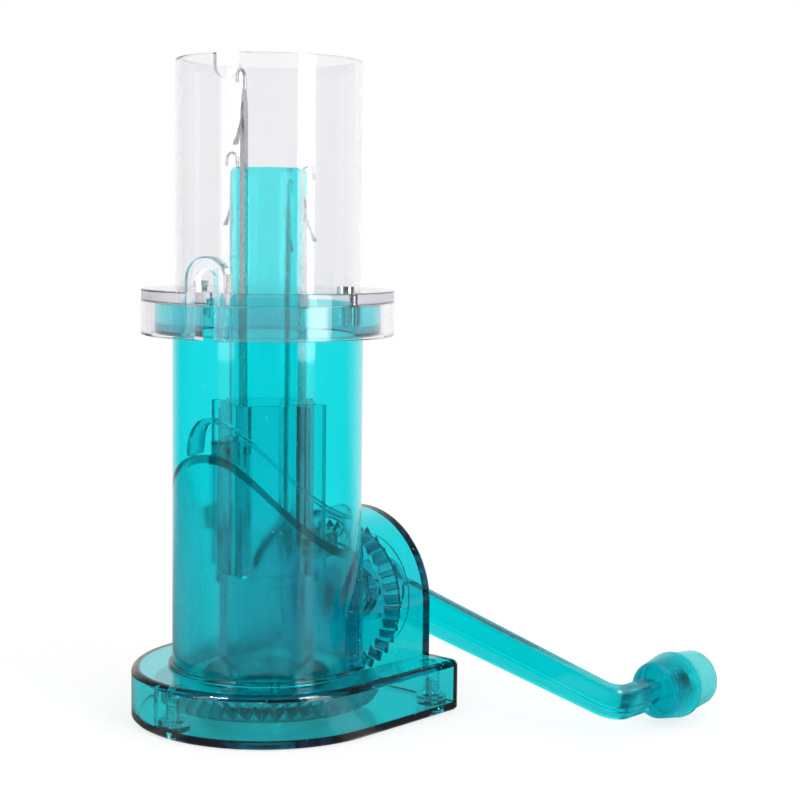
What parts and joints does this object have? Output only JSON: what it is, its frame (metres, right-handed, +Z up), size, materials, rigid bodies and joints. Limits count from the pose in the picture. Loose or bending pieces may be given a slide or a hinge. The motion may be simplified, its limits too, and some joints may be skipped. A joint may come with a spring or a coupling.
{
  "type": "hand-crank cord knitting machine",
  "caption": "Hand-crank cord knitting machine: bevel-geared needle cylinder with latch needles in a translucent tube, clear yarn cover and cord outlet in the base.",
  "frame": {"origin": "centre of the cord outlet in the underside of the base plate, on the tube's axis", "axes": "+Z up along the tube, +X along the crank's axis out of the flat end of the base"},
  "size_m": [0.132, 0.144, 0.195],
  "materials": {
    "teal_plastic": "glossy translucent teal",
    "clear_plastic": "glossy clear",
    "needle_steel": "bright drawn",
    "carrier_plastic": "satin",
    "screw_steel": "zinc plated"
  },
  "bodies": {
    "frame": {"base_plate": "teal_plastic", "base_housing": "teal_plastic", "base_screws": "screw_steel", "outer_tube": "teal_plastic", "lower_cam": "teal_plastic", "upper_cam": "teal_plastic", "yarn_cover": "clear_plastic", "cover_screws": "screw_steel"},
    "crank": {"crank_gear": "teal_plastic", "crank_arm": "teal_plastic", "crank_screw": "screw_steel", "knob_screw": "screw_steel"},
    "knob": {"crank_knob": "teal_plastic"},
    "cylinder": {"needle_cylinder": "teal_plastic", "ring_gear": "teal_plastic", "ring_gear_screws": "screw_steel"},
    "needle_1_set": {"needle_1": "needle_steel", "needle_carrier_1": "carrier_plastic", "latch_rivet_1": "needle_steel"},
    "latch_1_arm": {"latch_1": "needle_steel"},
    "needle_2_set": {"needle_2": "needle_steel", "needle_carrier_2": "carrier_plastic", "latch_rivet_2": "needle_steel"},
    "latch_2_arm": {"latch_2": "needle_steel"},
    "needle_3_set": {"needle_3": "needle_steel", "needle_carrier_3": "carrier_plastic", "latch_rivet_3": "needle_steel"},
    "latch_3_arm": {"latch_3": "needle_steel"},
    "needle_4_set": {"needle_4": "needle_steel", "needle_carrier_4": "carrier_plastic", "latch_rivet_4": "needle_steel"},
    "latch_4_arm": {"latch_4": "needle_steel"}
  },
  "joints": [
    {"name": "crank_turn", "type": "hinge", "parent": "frame", "child": "crank", "pos_m": [0.045, 0, 0.031], "axis": [1, 0, 0], "continuous": true},
    {"name": "knob_spin", "type": "hinge", "parent": "crank", "child": "knob", "pos_m": [0.08, -0.09352, 0.0102], "axis": [1, 0, 0], "continuous": true},
    {"name": "cylinder_spin", "type": "hinge", "parent": "frame", "child": "cylinder", "pos_m": [0, 0, 0], "axis": [0, 0, 1], "continuous": true},
    {"name": "needle_lift_1", "type": "slide", "parent": "cylinder", "child": "needle_1_set", "axis": [0, 0, 1], "range_m": [-0.0311, 0.0002]},
    {"name": "latch_flip_1", "type": "hinge", "parent": "needle_1_set", "child": "latch_1_arm", "pos_m": [-0.01238, -0.00207, 0.1788], "axis": [-0.165, 0.9863, 0], "range_deg": [0, 130]},
    {"name": "needle_lift_2", "type": "slide", "parent": "cylinder", "child": "needle_2_set", "axis": [0, 0, 1], "range_m": [-0.0038, 0.0275]},
    {"name": "latch_flip_2", "type": "hinge", "parent": "needle_2_set", "child": "latch_2_arm", "pos_m": [0.00207, -0.01238, 0.1515], "axis": [-0.9863, -0.165, 0], "range_deg": [0, 130]},
    {"name": "needle_lift_3", "type": "slide", "parent": "cylinder", "child": "needle_3_set", "axis": [0, 0, 1], "range_m": [-0.0003, 0.031]},
    {"name": "latch_flip_3", "type": "hinge", "parent": "needle_3_set", "child": "latch_3_arm", "pos_m": [0.01238, 0.00207, 0.148], "axis": [0.165, -0.9863, 0], "range_deg": [0, 130]},
    {"name": "needle_lift_4", "type": "slide", "parent": "cylinder", "child": "needle_4_set", "axis": [0, 0, 1], "range_m": [-0.0081, 0.0232]},
    {"name": "latch_flip_4", "type": "hinge", "parent": "needle_4_set", "child": "latch_4_arm", "pos_m": [-0.00207, 0.01238, 0.1558], "axis": [0.9863, 0.165, 0], "range_deg": [0, 130]}
  ],
  "couplings": [
    {"joint": "cylinder_spin", "follows": "crank_turn", "ratio": 0.7}
  ]
}
